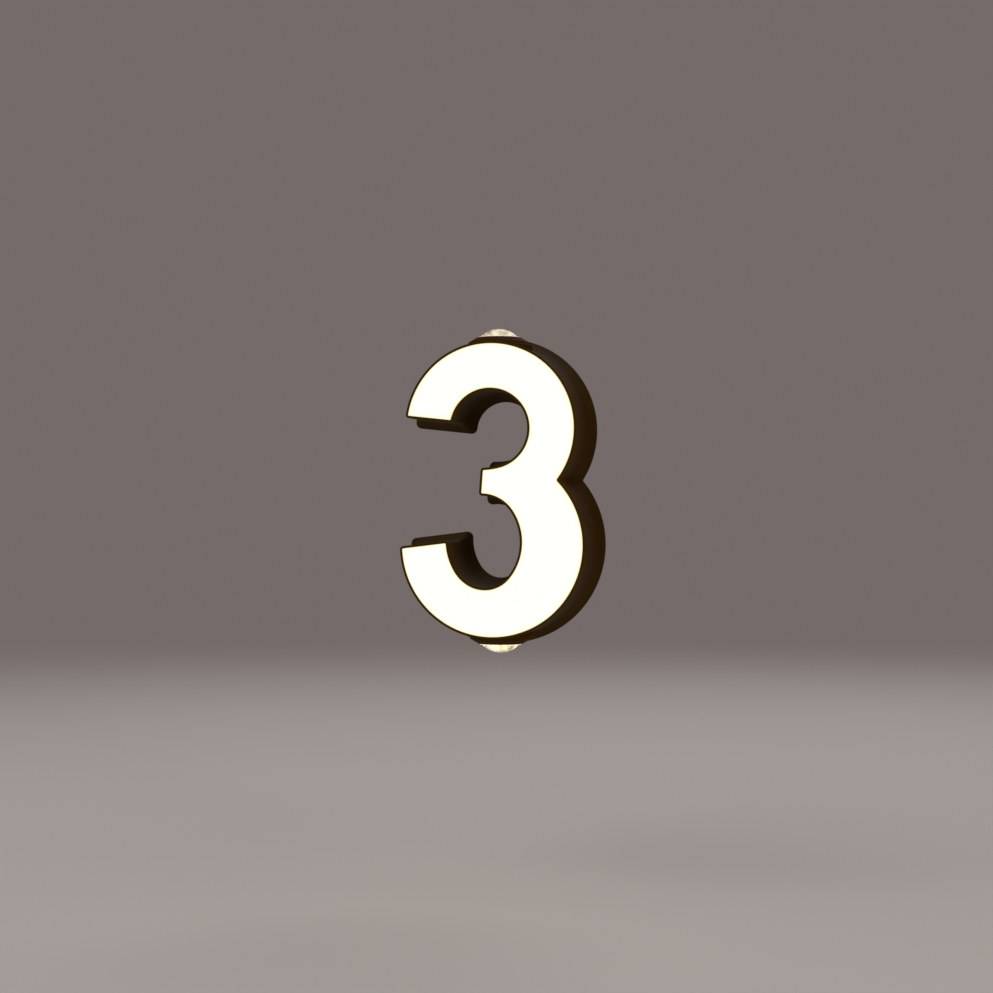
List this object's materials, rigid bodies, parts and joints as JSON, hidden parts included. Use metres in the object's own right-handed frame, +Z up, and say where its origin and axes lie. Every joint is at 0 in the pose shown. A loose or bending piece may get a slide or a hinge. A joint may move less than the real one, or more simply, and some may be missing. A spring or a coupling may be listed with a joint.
{
  "type": "illuminated house number sign",
  "caption": "Wall-mounted illuminated house number 3: channel housing with opal face, flared rear skirt, up and down spot lenses, inner driver and wall plate.",
  "frame": {"origin": "on the wall plane, midway between the two wall screw slots of the mounting plate", "axes": "+Z up the numeral, +X to the reader's right, -Y out of the wall towards the reader; the back lies in the plane Y = 0"},
  "size_m": [0.137, 0.06, 0.221],
  "materials": {
    "housing_coat": "satin dark bronze powder coat on cast aluminium",
    "ring_coat": "satin dark bronze powder coat on turned aluminium",
    "opal": "satin opal acrylic, lit",
    "clear_lens": "clear moulded lens",
    "tape": "black foam tape",
    "gasket": "matte",
    "silicone": "matte",
    "board": "white solder mask",
    "film": "white reflector film",
    "led": "phosphor",
    "cup": "turned",
    "bright_reflector": "polished",
    "plate": "zinc plated",
    "screw_steel": "stainless",
    "set_screw_steel": "blackened stainless",
    "driver_shell": "matte",
    "potting": "matte",
    "connector": "gloss",
    "terminal_body": "gloss",
    "terminal_brass": "plated",
    "tinned": "tin plated",
    "lead_brown": "insulated lead",
    "lead_earth": "green and yellow insulated lead",
    "lead_red": "insulated lead"
  },
  "bodies": {
    "root": {"housing": "housing_coat", "face_diffuser": "opal", "diffuser_tape": "tape", "reflector_film": "film", "led_board": "board", "face_leds": "led", "board_screws": "screw_steel", "board_connector": "connector", "board_leads": "lead_red", "supply_leads": "lead_brown", "top_spot_leads": "lead_red", "bottom_spot_leads": "lead_red", "earth_lead": "lead_earth", "earth_lug": "tinned", "earth_screw": "terminal_brass", "driver_case": "driver_shell", "driver_potting": "potting", "driver_screws": "screw_steel", "terminal_block": "terminal_body", "terminal_inserts": "terminal_brass", "terminal_screws": "screw_steel", "terminal_block_screw": "screw_steel", "mounting_plate": "plate", "wall_gasket": "gasket", "set_screws": "set_screw_steel", "cable_grommet": "gasket", "spot_board_screws": "screw_steel", "top_lens": "clear_lens", "top_lens_ring": "ring_coat", "top_lens_gasket": "silicone", "top_lamp_cup": "cup", "top_spot_reflector": "bright_reflector", "top_spot_board": "board", "top_spot_led": "led", "bottom_lens": "clear_lens", "bottom_lens_ring": "ring_coat", "bottom_lens_gasket": "silicone", "bottom_lamp_cup": "cup", "bottom_spot_reflector": "bright_reflector", "bottom_spot_board": "board", "bottom_spot_led": "led"}
  },
  "joints": []
}
